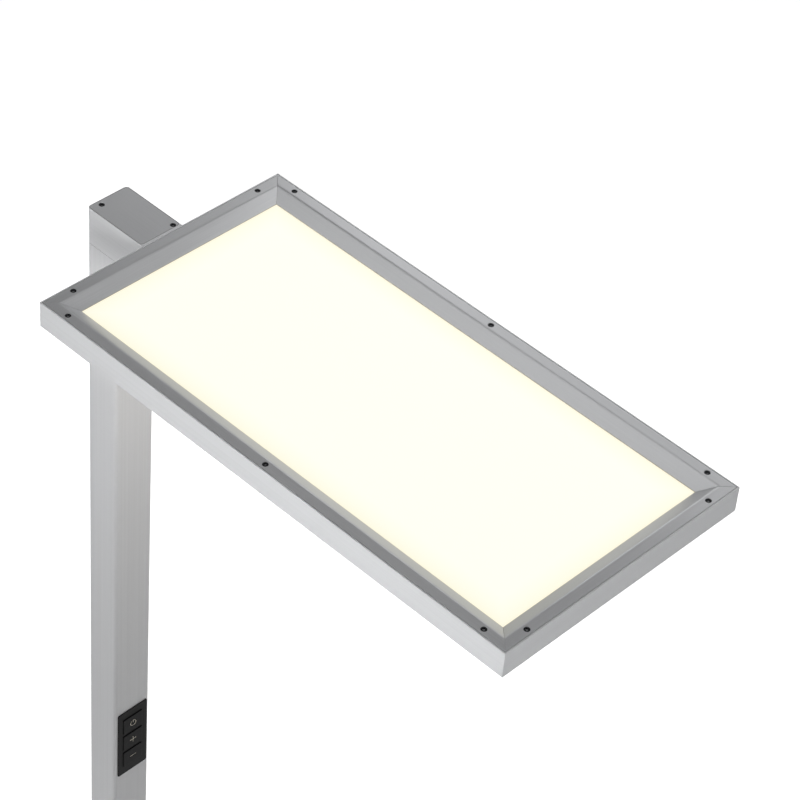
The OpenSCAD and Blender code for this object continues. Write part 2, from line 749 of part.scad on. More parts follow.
// Square nuts that fill the lane inside the head's wall
module head_nuts() {
    color("gray") at_arm_holes() translate([0, 0, wall_t]) difference() {
        translate([fit - lane_h / 2, -nut_w / 2, 0]) cube([lane_h - 2 * fit, nut_w, nut_t]);
        translate([0, 0, -eps]) cylinder(h = 2 * nut_t, d = bolt_d + 2 * fit);
    }
}

// Rubber bushes with a flange on each side of the two walls
module grommets() {
    bore = lead_d / 2 + fit;
    color("#202022") at_lead_holes() rotate_extrude() polygon([
        [bore, -arm_t - grommet_t], [grommet_flange / 2, -arm_t - grommet_t],
        [grommet_flange / 2, -arm_t], [grommet_d / 2, -arm_t], [grommet_d / 2, wall_t],
        [grommet_flange / 2, wall_t], [grommet_flange / 2, wall_t + grommet_t],
        [bore, wall_t + grommet_t]]);
}

// Lead from the driver's top step up through the spigot, round a bend in the arm and into the head
module head_lead(x, z) {
    z0 = driver_top - driver_end;
    translate([x + lead_bend, 0, z - lead_bend]) {
        rotate([90, 0, 0]) rotate([0, 0, 90])
            rotate_extrude(angle = 90) translate([lead_bend, 0]) circle(d = lead_d);
        translate([-lead_bend, 0, 0]) mirror([0, 0, 1])
            cylinder(h = z - lead_bend - z0, d = lead_d);
        translate([0, 0, lead_bend]) rotate([0, 90, 0])
            cylinder(h = head_x0 + connector_in - x - lead_bend, d = lead_d);
    }
}

module head_leads() {
    color("white") for (face = [1, -1])
        head_lead(step_mid - face * (lead_d + lead_gap) / 2, head_z + face * lane_z);
}

module lead_connectors() {
    color("ivory") for (face = [1, -1]) at_side("column", face)
        translate([-connector_w / 2, connector_in, chassis_t / 2])
            cube([connector_w, diffuser_in - connector_in - connector_gap,
                lane_z + lead_d / 2 - chassis_t / 2]);
}

module strip_leads() {
    run = head_w / 2 - strip_in - strip_t - connector_w / 2;
    color("white") for (face = [1, -1], s = [-1, 1]) at_side("column", face)
        translate([s * (connector_w + run) / 2, strip_lead_in, strip_lead_z]) rotate([0, 90, 0])
            cylinder(h = run, d = strip_lead_d, center = true);
}

// ---- head: walls and frame ----------------------------------------------------------------

// Side wall profile: outer wall, a screw rail at each face and a groove for the chassis plate
module wall_profile() {
    translate([0, -half_h]) square([wall_t, head_h]);
    for (face = [0, 1]) mirror([0, face]) {
        translate([wall_t - eps, rail_top - rail_h]) square([rail_depth - wall_t, rail_h]);
        translate([wall_t - eps, chassis_t / 2 + slack]) square([groove_depth - wall_t, rib_t]);
    }
}

module head_wall(side) {
    hole_l = frame_screw_l + hole_spare;
    color("silver") difference() {
        at_side(side) difference() {
            mitred(side, rim_w) wall_profile();
            for (face = [0, 1]) mirror([0, 0, face]) at_frame_screws(side)
                translate([0, 0, -hole_l]) cylinder(h = hole_l, d = frame_screw_d + 2 * fit);
        }
        if (side == "column") {
            at_arm_holes() cylinder(h = 4 * wall_t, d = bolt_d + 2 * fit, center = true);
            at_lead_holes() cylinder(h = 4 * wall_t, d = grommet_d + 2 * fit, center = true);
        }
    }
}

module head_wall_near() { head_wall("near"); }
module head_wall_end() { head_wall("end"); }
module head_wall_far() { head_wall("far"); }
module head_wall_column() { head_wall("column"); }

// Frame bar profile: flat rim, bend, bevel down to the lip, and the same thickness underneath
module bar_profile() {
    slope = bevel_drop / bevel_w;
    lip_w = (bevel_drop - bar_t - lip_fold + lip_h) / slope;
    bend_x0 = rim_w - crease_r * tan(atan(slope) / 2);
    bend = [for (k = [0 : 4]) let (a = k / 4 * atan(slope))
        [bend_x0 + crease_r * sin(a), half_h - crease_r * (1 - cos(a))]];
    polygon(concat([[wall_t + seam, half_h]], bend, [[glow_in, half_h - bevel_drop],
        [glow_in, lip_z], [rim_w + lip_w, lip_z], [rim_w - lip_fold / slope, rail_top],
        [wall_t + seam, rail_top]]));
}

module frame_bar(side, face) {
    color("darkgray") at_side(side, face) difference() {
        mitred(side, glow_in + bar_t, mitre_gap) bar_profile();
        at_frame_screws(side) countersunk_hole(frame_screw_d, frame_screw_head, 2 * bar_t);
    }
}

module top_bar_near() { frame_bar("near", 1); }
module top_bar_end() { frame_bar("end", 1); }
module top_bar_far() { frame_bar("far", 1); }
module top_bar_column() { frame_bar("column", 1); }
module bottom_bar_near() { frame_bar("near", -1); }
module bottom_bar_end() { frame_bar("end", -1); }
module bottom_bar_far() { frame_bar("far", -1); }
module bottom_bar_column() { frame_bar("column", -1); }

module frame_screws(face) {
    color("dimgray") for (side = SIDES) at_side(side, face)
        at_frame_screws(side) countersunk_screw(frame_screw_d, frame_screw_head, frame_screw_l);
}

module top_screws() { frame_screws(1); }
module bottom_screws() { frame_screws(-1); }

// Angle brackets behind the four corners, over and under the chassis plate
module corner_brackets() {
    color("gray") for (face = [0, 1], sx = [0, 1], sy = [0, 1])
        translate([head_x0 + head_l / 2, 0, head_z]) mirror([0, 0, face]) mirror([sx, 0, 0])
            mirror([0, sy, 0]) translate([wall_t - head_l / 2, wall_t - head_w / 2, rib_top]) {
                cube([bracket_l, bracket_t, lane_h]);
                cube([bracket_t, bracket_l, lane_h]);
            }
}

// ---- head: light engine -------------------------------------------------------------------

module chassis_plate() {
    color("lightgray") head_sheet(wall_t + chassis_room, -chassis_t / 2, chassis_t);
}

module reflector_sheets() {
    color("white") for (z = [chassis_t / 2, -led_z0]) head_sheet(strip_in + slack, z, reflector_t);
}

module light_guides() {
    color("lightcyan") for (z = [led_z0, -led_z0 - guide_t]) head_sheet(guide_in, z, guide_t);
}

// Rails all round that carry the diffusers; the long ones also carry the LED strips
module led_rails() {
    z0 = chassis_t / 2;
    color("lightgray") for (face = [1, -1], side = SIDES) {
        l = is_long(side) ? head_l - 2 * led_in : head_w - 2 * guide_in;
        at_side(side, face) translate([-l / 2, led_in, z0])
            cube([l, led_rail_t, lip_z - diffuser_t - z0]);
    }
}

// LED strips on the long rails, with a tail at the column end where the strip leads arrive
module led_strips() {
    run = head_l - 2 * guide_in;
    count = floor(run / led_pitch);
    tail = guide_in - strip_lead_in + strip_lead_d;
    color("gold") for (face = [1, -1], side = ["near", "far"]) at_side(side, face) {
        translate([-run / 2 - (side == "near" ? tail : 0), strip_in, led_z0])
            cube([run + tail, strip_t, guide_t]);
        for (i = [0 : count]) translate([(i - count / 2) * led_pitch - led_size / 2,
            strip_in + strip_t - eps, led_z0 + guide_t / 2 - led_size / 2])
            cube([led_size, led_h + eps, led_size]);
    }
}

module top_diffuser() {
    color("lightyellow") head_sheet(diffuser_in, lip_z - diffuser_t, diffuser_t);
}

module bottom_diffuser() {
    color("lightyellow") head_sheet(diffuser_in, -lip_z, diffuser_t);
}

// ---- output -------------------------------------------------------------------------------

base_plate();
glide_pads();
foot_block();
foot_screws();
foot_set_screws();
column();
cord_gland();
gland_locknut();
mains_terminal();
mains_wire();
driver_carrier();
led_driver();
carrier_screws();
control_wire();
control_bezel();
key_on_off();
key_brighter();
key_dimmer();
key_switches();
control_board();
board_screws();
column_spigot();
spigot_bolts();
spigot_set_screws();
arm_body();
arm_cover();
cover_screws();
arm_head_bolts();
head_nuts();
grommets();
head_leads();
lead_connectors();
strip_leads();
head_wall_near();
head_wall_end();
head_wall_far();
head_wall_column();
top_bar_near();
top_bar_end();
top_bar_far();
top_bar_column();
bottom_bar_near();
bottom_bar_end();
bottom_bar_far();
bottom_bar_column();
top_screws();
bottom_screws();
corner_brackets();
chassis_plate();
reflector_sheets();
light_guides();
led_rails();
led_strips();
top_diffuser();
bottom_diffuser();
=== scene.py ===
import json
import math

import bmesh
import bpy
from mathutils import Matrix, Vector

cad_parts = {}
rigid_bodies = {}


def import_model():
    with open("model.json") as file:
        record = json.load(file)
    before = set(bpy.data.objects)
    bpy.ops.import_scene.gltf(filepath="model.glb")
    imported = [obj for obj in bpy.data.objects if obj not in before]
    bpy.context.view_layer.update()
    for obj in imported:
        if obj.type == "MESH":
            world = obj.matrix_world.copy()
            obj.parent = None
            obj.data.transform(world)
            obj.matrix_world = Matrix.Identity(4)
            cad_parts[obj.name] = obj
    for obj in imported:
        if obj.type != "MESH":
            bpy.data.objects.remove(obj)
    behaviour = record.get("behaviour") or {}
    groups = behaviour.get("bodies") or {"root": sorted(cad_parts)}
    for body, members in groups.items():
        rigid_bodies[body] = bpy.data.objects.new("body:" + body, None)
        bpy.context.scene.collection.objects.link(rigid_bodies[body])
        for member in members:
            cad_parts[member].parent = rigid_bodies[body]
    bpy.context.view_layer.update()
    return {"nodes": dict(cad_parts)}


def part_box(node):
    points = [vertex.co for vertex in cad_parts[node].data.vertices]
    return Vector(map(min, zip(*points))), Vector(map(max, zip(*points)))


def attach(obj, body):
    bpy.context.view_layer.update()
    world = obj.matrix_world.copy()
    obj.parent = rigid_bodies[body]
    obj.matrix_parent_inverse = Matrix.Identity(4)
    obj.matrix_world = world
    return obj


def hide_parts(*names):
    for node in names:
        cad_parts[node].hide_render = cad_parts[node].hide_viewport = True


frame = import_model()
nodes = frame["nodes"]
print("frame loaded:", len(nodes), "solids")

scene = bpy.context.scene
scene.view_settings.view_transform = "Standard"
mm = 0.001

cameraSetup = {
    "lens": 130.8955,  # millimetres; so long that the head's far side is hardly smaller than the near one
    "sensor": 36,
    "farthest": 60,  # metres
    "place": (1.769764, -1.555080, 3.801050),
    "turn": (48.20390, -3.88138, 44.81066),  # degrees
}


def placeCamera(setup):
    data = bpy.data.cameras.new("photoCamera")
    data.lens = setup["lens"]
    data.sensor_width = setup["sensor"]
    data.clip_end = setup["farthest"]
    camera = bpy.data.objects.new("photoCamera", data)
    camera.location = setup["place"]
    camera.rotation_euler = [math.radians(angle) for angle in setup["turn"]]
    scene.collection.objects.link(camera)
    scene.camera = camera


placeCamera(cameraSetup)
print("camera:", cameraSetup["lens"], "mm lens")


def linearColour(hexText):
    parts = [int(hexText[i:i + 2], 16) / 255 for i in (1, 3, 5)]
    return [c / 12.92 if c <= 0.04045 else ((c + 0.055) / 1.055) ** 2.4 for c in parts] + [1.0]


def addNode(tree, kind, inputs=None, **settings):
    node = tree.nodes.new(kind)
    for name, value in settings.items():
        setattr(node, name, value)
    for name, value in (inputs or {}).items():
        if isinstance(value, bpy.types.NodeSocket):
            tree.links.new(value, node.inputs[name])
        else:
            node.inputs[name].default_value = value
    return node


def calculate(tree, operation, first, second):
    return addNode(tree, "ShaderNodeMath", {0: first, 1: second}, operation=operation).outputs[0]


def startMaterial(name, shaderInputs):
    material = bpy.data.materials.new(name)
    material.use_nodes = True
    tree = material.node_tree
    tree.nodes.clear()
    shader = addNode(tree, "ShaderNodeBsdfPrincipled", shaderInputs)
    addNode(tree, "ShaderNodeOutputMaterial", {"Surface": shader.outputs[0]})
    place = addNode(tree, "ShaderNodeTexCoord").outputs["Object"]
    return material, tree, shader, place


noiseRange = {"From Min": 0.3, "From Max": 0.7}  # where nearly all of a noise's values lie


def spread(tree, factor, low, high):
    stretch = addNode(tree, "ShaderNodeMapRange", {"Value": factor, **noiseRange, "To Min": low, "To Max": high})
    return stretch.outputs[0]


def blendColours(tree, factor, first, second):
    # A colour mix takes its two colours at inputs 6 and 7, and gives the result at output 2
    colours = [linearColour(c) if isinstance(c, str) else c for c in (first, second)]
    mix = addNode(tree, "ShaderNodeMix", {0: factor, 6: colours[0], 7: colours[1]}, data_type="RGBA")
    return mix.outputs[2]


def grain(tree, place, size, detail=2.0):
    # size is how long a feature is along X, Y and Z, in millimetres
    scaled = addNode(tree, "ShaderNodeMapping", {"Vector": place, "Scale": [1 / (s * mm) for s in size]})
    noise = addNode(tree, "ShaderNodeTexNoise", {"Vector": scaled.outputs[0], "Scale": 1.0, "Detail": detail})
    return noise.outputs[0]


def bump(tree, shader, height, depth, strength):
    # depth in millimetres
    node = addNode(tree, "ShaderNodeBump", {"Height": height, "Distance": depth * mm, "Strength": strength})
    tree.links.new(node.outputs[0], shader.inputs["Normal"])


def alongAxis(axis, long, across):
    return [long if name == axis else across for name in "XYZ"]


# Extruded aluminium, etched and clear anodised: silver with a soft sheen, faint draw lines along its length
satinLook = {"dark": "#C9CACC", "light": "#CECFD1", "metallic": 0.15, "roughness": (0.40, 0.46),
             "lineLength": 420, "lineGap": 2.2, "gritSize": 0.7}


def satinAnodisedAluminium(axis):
    material, tree, shader, place = startMaterial(
        "satinAnodisedAluminium" + axis, {"Metallic": satinLook["metallic"]})
    lines = grain(tree, place, alongAxis(axis, satinLook["lineLength"], satinLook["lineGap"]))
    grit = grain(tree, place, [satinLook["gritSize"]] * 3, detail=3.0)
    tree.links.new(blendColours(tree, spread(tree, lines, 0, 1), satinLook["dark"], satinLook["light"]),
                   shader.inputs["Base Color"])
    tree.links.new(spread(tree, lines, *satinLook["roughness"]), shader.inputs["Roughness"])
    bump(tree, shader, grit, depth=0.02, strength=0.5)  # the etch, coarser than the real 0.1 mm so that it shows
    return material


# Aluminium bars brushed along their length, then anodised: fine streaks, a duller grey than the walls
brushedLook = {"dark": "#C0C1C3", "light": "#C8C9CB", "metallic": 0.7, "roughness": (0.30, 0.37),
               "streakLength": 90, "streakGap": 0.5}


def brushedAnodisedAluminium(axis):
    material, tree, shader, place = startMaterial(
        "brushedAnodisedAluminium" + axis, {"Metallic": brushedLook["metallic"]})
    streakSize = alongAxis(axis, brushedLook["streakLength"], brushedLook["streakGap"])
    streaks = grain(tree, place, streakSize, detail=4.0)
    tree.links.new(blendColours(tree, spread(tree, streaks, 0, 1), brushedLook["dark"], brushedLook["light"]),
                   shader.inputs["Base Color"])
    tree.links.new(spread(tree, streaks, *brushedLook["roughness"]), shader.inputs["Roughness"])
    bump(tree, shader, streaks, depth=0.01, strength=0.6)  # 0.1 mm apart on a real bar, here 0.5 mm
    return material


# Aluminium as it leaves the mill or saw: brighter and patchier than the anodised parts
millLook = {"dark": "#C3C4C6", "light": "#D2D3D4", "metallic": 1.0, "roughness": (0.28, 0.5),
            "patchSize": 18, "scratchLength": 30, "scratchGap": 0.8}


def millAluminium():
    material, tree, shader, place = startMaterial("millAluminium", {"Metallic": millLook["metallic"]})
    patches = grain(tree, place, [millLook["patchSize"]] * 3, detail=3.0)
    scratches = grain(tree, place, alongAxis("X", millLook["scratchLength"], millLook["scratchGap"]), detail=3.0)
    tree.links.new(blendColours(tree, spread(tree, patches, 0, 1), millLook["dark"], millLook["light"]),
                   shader.inputs["Base Color"])
    tree.links.new(spread(tree, scratches, *millLook["roughness"]), shader.inputs["Roughness"])
    bump(tree, shader, scratches, depth=0.015, strength=0.6)
    return material


# Steel plate, powder coated silver grey: fine orange peel and small metal flakes, satin
powderLook = {"dark": "#A5A7A9", "light": "#B4B6B8", "metallic": 0.35, "ior": 1.5, "coat": 0.15,
              "coatRoughness": 0.3, "roughness": (0.42, 0.55), "peelSize": 1.6, "flakeSize": 0.6}


def powderCoatedSteel():
    material, tree, shader, place = startMaterial(
        "powderCoatedSteel", {"Metallic": powderLook["metallic"], "IOR": powderLook["ior"],
                              "Coat Weight": powderLook["coat"], "Coat Roughness": powderLook["coatRoughness"]})
    peel = grain(tree, place, [powderLook["peelSize"]] * 3, detail=3.0)
    flakes = addNode(tree, "ShaderNodeTexVoronoi", {"Vector": place, "Scale": 1 / (powderLook["flakeSize"] * mm)})
    tree.links.new(blendColours(tree, flakes.outputs[0], powderLook["dark"], powderLook["light"]),
                   shader.inputs["Base Color"])
    tree.links.new(spread(tree, peel, *powderLook["roughness"]), shader.inputs["Roughness"])
    bump(tree, shader, peel, depth=0.06, strength=0.5)
    return material


# Hardened steel screw, blackened: near black and slightly oily, with a painted glint: a pale patch at the bottom
# of its socket
screwLook = {"dark": "#1B1C1E", "light": "#343538", "paintedGlint": "#B9BABC", "metallic": 0.8,
             "roughness": (0.28, 0.45), "wearSize": 1.5}


def blackenedSteel():
    material, tree, shader, place = startMaterial("blackenedSteel", {"Metallic": screwLook["metallic"]})
    wear = grain(tree, place, [screwLook["wearSize"]] * 3, detail=4.0)
    black = blendColours(tree, spread(tree, wear, 0, 1), screwLook["dark"], screwLook["light"])
    # painted glint: the faces at the socket's bottom are painted pale, as if they caught the light
    paintedGlint = addNode(tree, "ShaderNodeAttribute", attribute_name="bareMetal").outputs["Fac"]
    tree.links.new(blendColours(tree, paintedGlint, black, screwLook["paintedGlint"]), shader.inputs["Base Color"])
    tree.links.new(spread(tree, wear, *screwLook["roughness"]), shader.inputs["Roughness"])
    bump(tree, shader, wear, depth=0.02, strength=0.4)
    return material


# Moulded plastic and rubber share one recipe. Each row: dark and light colour, IOR, specular level, roughness,
# size and depth of the mould's spark texture in millimetres
plasticLooks = {
    "blackRubber": ("#1B1B1C", "#262627", 1.52, 0.5, (0.62, 0.78), 1.2, 0.08),  # matt, chalky where it is rubbed
    "blackNylon": ("#141415", "#1F1F20", 1.53, 0.5, (0.42, 0.56), 0.9, 0.04),  # satin, with the mould's fine spark
    "blackPolycarbonate": ("#050506", "#09090A", 1.58, 0.04, (0.34, 0.42), 2.5, 0.01),  # front panel, deep black
    "blackKeyPlastic": ("#09090A", "#0E0E0F", 1.54, 0.06, (0.46, 0.54), 0.8, 0.02),  # keys, a shade greyer
    "ivoryPolyamide": ("#DAD3C0", "#E6E0CF", 1.53, 0.5, (0.40, 0.52), 1.4, 0.04),  # off-white terminal blocks
    "whiteDriverCase": ("#D4D5D3", "#E0E1DF", 1.58, 0.5, (0.38, 0.50), 1.1, 0.05),  # moulded electronic case
    "blackPvcSheath": ("#19191A", "#232324", 1.53, 0.5, (0.45, 0.60), 1.5, 0.03),  # soft cable sheath
    "greenSolderMask": ("#1C5A33", "#24683C", 1.55, 0.5, (0.22, 0.36), 3.0, 0.02),  # glossy board varnish
    "whiteSolderMask": ("#E2E3E0", "#EEEFEC", 1.55, 0.5, (0.35, 0.50), 2.0, 0.02),  # white board under the diodes
    "whiteReflectorFilm": ("#E9EAE8", "#F4F5F3", 1.49, 0.5, (0.55, 0.68), 4.0, 0.01),  # chalk-white backing film
}


toneSize = 22  # millimetres; how far apart the light and dark patches of moulded plastic lie


def mouldedPlastic(name):
    dark, light, ior, specular, roughness, texture, depth = plasticLooks[name]
    material, tree, shader, place = startMaterial(name, {"IOR": ior, "Specular IOR Level": specular})
    tone = grain(tree, place, [toneSize] * 3)
    spark = grain(tree, place, [texture] * 3, detail=3.0)
    tree.links.new(blendColours(tree, spread(tree, tone, 0, 1), dark, light), shader.inputs["Base Color"])
    tree.links.new(spread(tree, spark, *roughness), shader.inputs["Roughness"])
    bump(tree, shader, spark, depth, strength=0.6)
    return material


# Cast acrylic light guide, laser dotted: clear with a faint frost of dots
guideLook = {"clear": "#F4F7F5", "frosted": "#E4EAE6", "ior": 1.49, "transmission": 0.9,
             "roughness": (0.5, 0.05), "dotSize": 3}


def clearAcrylic():
    material, tree, shader, place = startMaterial(
        "clearAcrylic", {"IOR": guideLook["ior"], "Transmission Weight": guideLook["transmission"]})
    dots = addNode(tree, "ShaderNodeTexVoronoi", {"Vector": place, "Scale": 1 / (guideLook["dotSize"] * mm)})
    tree.links.new(blendColours(tree, dots.outputs[0], guideLook["clear"], guideLook["frosted"]),
                   shader.inputs["Base Color"])
    tree.links.new(spread(tree, dots.outputs[0], *guideLook["roughness"]), shader.inputs["Roughness"])
    return material


# Opal acrylic lit from its edges: warm white, yellower along the frame, dark where the frame's lip shades it
opalLook = {"middle": "#FFFFF2", "rim": "#FFF8DC", "shade": "#6E6757", "glow": 0.9, "base": "#6E6E68",
            "ior": 1.49, "roughness": (0.5, 0.62), "falloff": 0.5,
            "frostSize": 0.9, "fade": 27, "shadeWidth": 0.8}  # millimetres


def opalAcrylic(name, low, high):
    # low and high are the corners of the frame's opening
    material, tree, shader, place = startMaterial(
        name, {"Base Color": linearColour(opalLook["base"]), "IOR": opalLook["ior"],
               "Emission Strength": opalLook["glow"]})
    toMiddle = [-(a + b) / 2 for a, b in zip(low, high)]
    centred = addNode(tree, "ShaderNodeMapping", {"Vector": place, "Location": toMiddle + [0]})
    parts = addNode(tree, "ShaderNodeSeparateXYZ", {0: centred.outputs[0]})
    gaps = []
    for axis in range(2):
        fromMiddle = calculate(tree, "ABSOLUTE", parts.outputs[axis], 0.0)
        gaps.append(calculate(tree, "SUBTRACT", (high[axis] - low[axis]) / 2, fromMiddle))
    toEdge = calculate(tree, "MINIMUM", *gaps)
    inwards = addNode(tree, "ShaderNodeMapRange", {"Value": toEdge, "From Max": opalLook["fade"] * mm}).outputs[0]
    eased = calculate(tree, "POWER", inwards, opalLook["falloff"])
    lit = blendColours(tree, eased, opalLook["rim"], opalLook["middle"])
    shaded = addNode(tree, "ShaderNodeMapRange",
                     {"Value": toEdge, "From Max": opalLook["shadeWidth"] * mm}, interpolation_type="SMOOTHSTEP")
    tree.links.new(blendColours(tree, shaded.outputs[0], opalLook["shade"], lit), shader.inputs["Emission Color"])
    frost = grain(tree, place, [opalLook["frostSize"]] * 3)
    tree.links.new(spread(tree, frost, *opalLook["roughness"]), shader.inputs["Roughness"])
    bump(tree, shader, frost, depth=0.01, strength=0.3)
    return material


def openingOf(side):
    # The frame's opening on one side of the head, between the inner edges of its four bars
    near, far, column, end = [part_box(side + "_bar_" + name) for name in ("near", "far", "column", "end")]
    return [column[1][0], near[1][1]], [end[0][0], far[0][1]]


finishes = {}
for axis in "XYZ":
    finishes["satin" + axis] = satinAnodisedAluminium(axis)
for axis in "XY":
    finishes["brushed" + axis] = brushedAnodisedAluminium(axis)
finishes["mill"] = millAluminium()
finishes["powder"] = powderCoatedSteel()
finishes["screw"] = blackenedSteel()
finishes["clear"] = clearAcrylic()
for name in plasticLooks:
    finishes[name] = mouldedPlastic(name)
for side in ("top", "bottom"):
    finishes[side + "Opal"] = opalAcrylic(side + "OpalAcrylic", *openingOf(side))

nodeFinishes = {
    "satinX": ["arm_body", "head_wall_near", "head_wall_far"],
    "satinY": ["head_wall_end", "head_wall_column"],
    "satinZ": ["column"],
    "brushedX": ["arm_cover", "top_bar_near", "top_bar_far", "bottom_bar_near", "bottom_bar_far"],
    "brushedY": ["top_bar_end", "top_bar_column", "bottom_bar_end", "bottom_bar_column"],
    "mill": ["foot_block", "driver_carrier", "column_spigot", "corner_brackets", "chassis_plate", "led_rails"],
    "powder": ["base_plate"],
    "screw": ["foot_screws", "foot_set_screws", "carrier_screws", "board_screws", "spigot_bolts",
              "spigot_set_screws", "cover_screws", "arm_head_bolts", "head_nuts", "top_screws", "bottom_screws"],
    "blackRubber": ["glide_pads", "grommets"],
    "blackNylon": ["cord_gland", "gland_locknut", "key_switches"],
    "blackPolycarbonate": ["control_bezel"],
    "blackKeyPlastic": ["key_on_off", "key_brighter", "key_dimmer"],
    "ivoryPolyamide": ["mains_terminal", "lead_connectors"],
    "whiteDriverCase": ["led_driver"],
    "blackPvcSheath": ["mains_wire", "control_wire", "head_leads", "strip_leads"],
    "greenSolderMask": ["control_board"],
    "whiteSolderMask": ["led_strips"],
    "whiteReflectorFilm": ["reflector_sheets"],
    "clear": ["light_guides"],
    "topOpal": ["top_diffuser"],
    "bottomOpal": ["bottom_diffuser"],
}
for finish, names in nodeFinishes.items():
    for name in names:
        mesh = nodes[name].data
        mesh.materials.clear()
        mesh.materials.append(finishes[finish])
print("materials:", len(finishes))


# The large visible solids get a merged copy whose long edges are eased, as on a real extrusion or plate
easedEdges = {  # millimetres
    "column": 0.6, "arm_body": 0.3, "arm_cover": 0.5, "base_plate": 0.3, "control_bezel": 0.2,
    "key_on_off": 0.15, "key_brighter": 0.15, "key_dimmer": 0.15,
    "head_wall_near": 0.3, "head_wall_end": 0.3, "head_wall_far": 0.3, "head_wall_column": 0.3,
    "top_bar_near": 0.18, "top_bar_end": 0.18, "top_bar_far": 0.18, "top_bar_column": 0.18,
    "bottom_bar_near": 0.18, "bottom_bar_end": 0.18, "bottom_bar_far": 0.18, "bottom_bar_column": 0.18,
    "cord_gland": 0.3, "glide_pads": 0.3, "foot_block": 0.4,
}
easing = {"merge": 0.002, "smallestLoop": 12,  # millimetres; a smaller loop is a hole's rim and stays sharp
          "flat": 0.5, "sharp": 30, "smooth": 34,  # degrees
          "steps": 2}


def loopsOf(edges):
    left = set(edges)
    while left:
        loop, queue = set(), [left.pop()]
        while queue:
            edge = queue.pop()
            loop.add(edge)
            for vert in edge.verts:
                for other in vert.link_edges:
                    if other in left:
                        left.discard(other)
                        queue.append(other)
        yield loop


def loopSize(loop):
    points = [vert.co for edge in loop for vert in edge.verts]
    return max(max(p[i] for p in points) - min(p[i] for p in points) for i in range(3))


def finishMesh(piece):
    mesh = piece.data
    mesh.polygons.foreach_set("use_smooth", [True] * len(mesh.polygons))
    mesh.set_sharp_from_angle(angle=math.radians(easing["smooth"]))
    piece.modifiers.new("evenShading", "WEIGHTED_NORMAL").keep_sharp = True
    applyModifiers(piece)


def applyModifiers(piece):
    evaluated = piece.evaluated_get(bpy.context.evaluated_depsgraph_get())
    mesh = bpy.data.meshes.new_from_object(evaluated)
    mesh.name = piece.name
    piece.modifiers.clear()
    piece.data = mesh


def newPiece(name, mesh):
    piece = bpy.data.objects.new(name, mesh)
    scene.collection.objects.link(piece)
    return piece


def pieceOf(shape, name, material):
    mesh = bpy.data.meshes.new(name)
    shape.to_mesh(mesh)
    shape.free()
    mesh.materials.append(material)
    return newPiece(name, mesh)


def easedCopy(name, width):
    source = nodes[name]
    shape = bmesh.new()
    shape.from_mesh(source.data)
    bmesh.ops.remove_doubles(shape, verts=shape.verts, dist=easing["merge"] * mm)
    bmesh.ops.dissolve_limit(shape, angle_limit=math.radians(easing["flat"]), verts=shape.verts, edges=shape.edges)
    sharp = [e for e in shape.edges if e.is_manifold and e.calc_face_angle() > math.radians(easing["sharp"])]
    chosen = [e for loop in loopsOf(sharp) if loopSize(loop) > easing["smallestLoop"] * mm for e in loop]
    bmesh.ops.bevel(shape, geom=chosen, offset=width * mm, segments=easing["steps"], profile=0.5,
                    affect="EDGES", clamp_overlap=True)
    piece = pieceOf(shape, name + "_eased", source.data.materials[0])
    finishMesh(piece)
    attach(piece, source.parent.name.split(":")[1])
    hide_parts(name)


for name, width in easedEdges.items():
    easedCopy(name, width)
print("eased pieces:", len(easedEdges))


# Countersunk screws of frame and cover: the rim is flat, the socket a hexagon with a painted glint at its bottom
screwSizes = {"shank": 3.5, "rim": 0.25, "socket": 3.2, "socketDepth": 1.3,  # millimetres
              "glintReach": 0.1,  # a face as near to the socket's bottom as this gets the painted glint
              "sides": 40, "nextTurn": 0.37}  # each screw stands turned a little further, in radians


def addSocket(tree, name, kind="NodeSocketFloat", inOut="INPUT"):
    return tree.interface.new_socket(name, in_out=inOut, socket_type=kind).identifier


def placeCopies(tree, spots, shape, material):
    turn = addNode(tree, "GeometryNodeInputNamedAttribute", {"Name": "turn"}, data_type="FLOAT_VECTOR")
    turned = addNode(tree, "FunctionNodeEulerToRotation", {0: turn.outputs[0]})
    placed = addNode(tree, "GeometryNodeInstanceOnPoints", {
        "Points": spots, "Instance": shape, "Rotation": turned.outputs[0]})
    real = addNode(tree, "GeometryNodeRealizeInstances", {0: placed.outputs[0]})
    painted = addNode(tree, "GeometryNodeSetMaterial", {"Geometry": real.outputs[0], "Material": material})
    addNode(tree, "NodeGroupOutput", {0: painted.outputs[0]})


